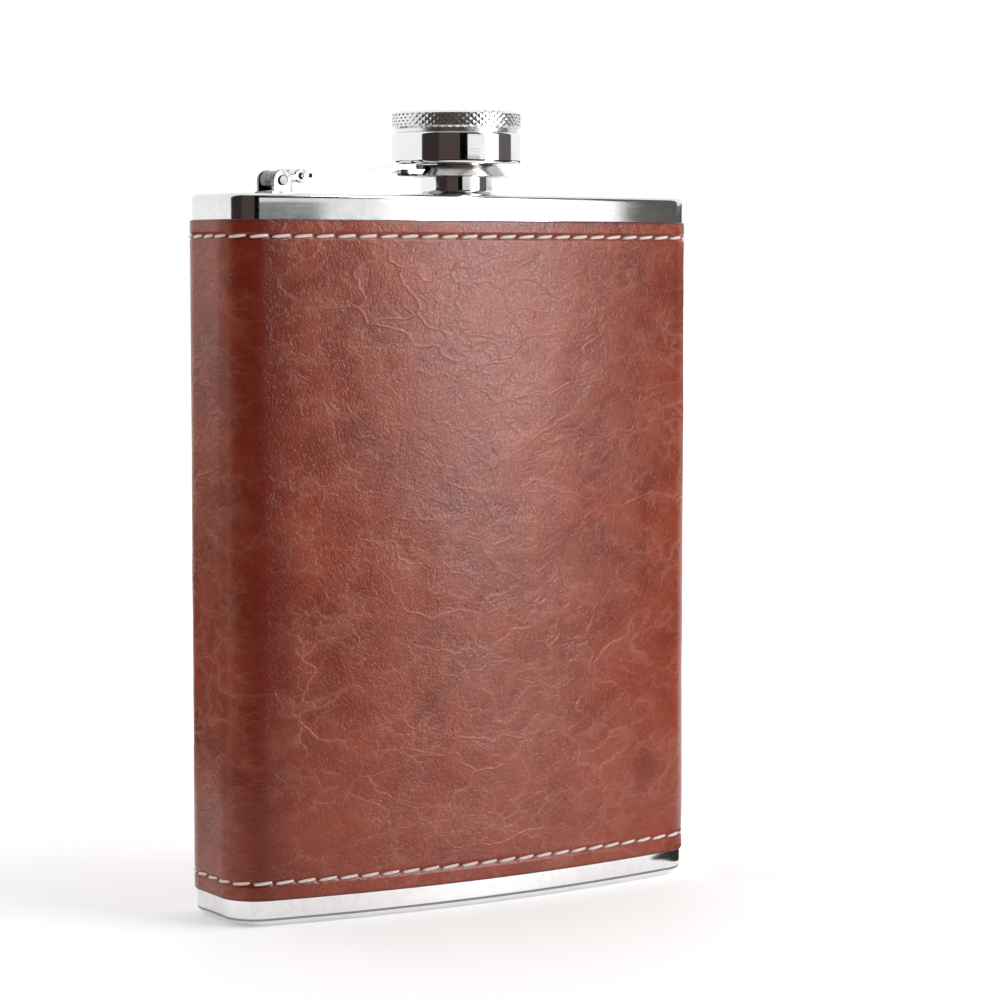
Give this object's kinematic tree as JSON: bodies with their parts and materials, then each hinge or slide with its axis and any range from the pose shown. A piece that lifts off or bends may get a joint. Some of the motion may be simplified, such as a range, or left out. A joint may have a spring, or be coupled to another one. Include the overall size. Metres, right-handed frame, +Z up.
{
  "type": "hip flask",
  "caption": "Curved hip flask in a stitched leather wrap, with a knurled screw cap held captive by a ring, a strap and a two-pin hinge.",
  "frame": {"origin": "centre of the flask's footprint, on the surface that it stands on", "axes": "+Z up along the neck, -Y towards the convex front, +Y towards the hollow back, -X towards the cap's hinge"},
  "size_m": [0.0952, 0.0262, 0.1389],
  "materials": {
    "polished_steel": "mirror polished stainless steel",
    "cap_steel": "bright polished and knurled steel",
    "brown_leather": "waxed reddish brown leather with creases",
    "waxed_thread": "thick cream waxed thread",
    "silicone": "translucent white silicone"
  },
  "bodies": {
    "flask": {"body_tube": "polished_steel", "top_plate": "polished_steel", "base_plate": "polished_steel", "neck_spout": "polished_steel", "leather_wrap": "brown_leather", "upper_stitching": "waxed_thread", "lower_stitching": "waxed_thread", "hinge_bracket": "polished_steel", "bracket_pin": "polished_steel"},
    "link": {"hinge_link": "polished_steel", "arm_pin": "polished_steel"},
    "arm": {"arm_strap": "polished_steel", "swivel_ring": "polished_steel", "strap_rivet": "polished_steel"},
    "seal": {"seal_washer": "silicone"},
    "cap": {"cap_body": "cap_steel", "cap_top": "cap_steel", "cap_insert": "polished_steel"}
  },
  "joints": [
    {"name": "link_swing", "type": "hinge", "parent": "flask", "child": "link", "pos_m": [-0.0362, -0.00177, 0.1266], "axis": [0, -1, 0], "range_deg": [0, 100]},
    {"name": "arm_swing", "type": "hinge", "parent": "link", "child": "arm", "pos_m": [-0.0322, -0.00177, 0.1274], "axis": [0, -1, 0], "range_deg": [0, 100]},
    {"name": "cap_lift", "type": "slide", "parent": "arm", "child": "seal", "axis": [0, 0, 1], "range_m": [0, 0.0025]},
    {"name": "cap_turn", "type": "hinge", "parent": "seal", "child": "cap", "pos_m": [0, -0.00177, 0.1323], "axis": [0, 0, 1], "range_deg": [0, 720]}
  ],
  "couplings": [
    {"joint": "cap_lift", "follows": "cap_turn", "m_per_rad": 0.00019894}
  ]
}
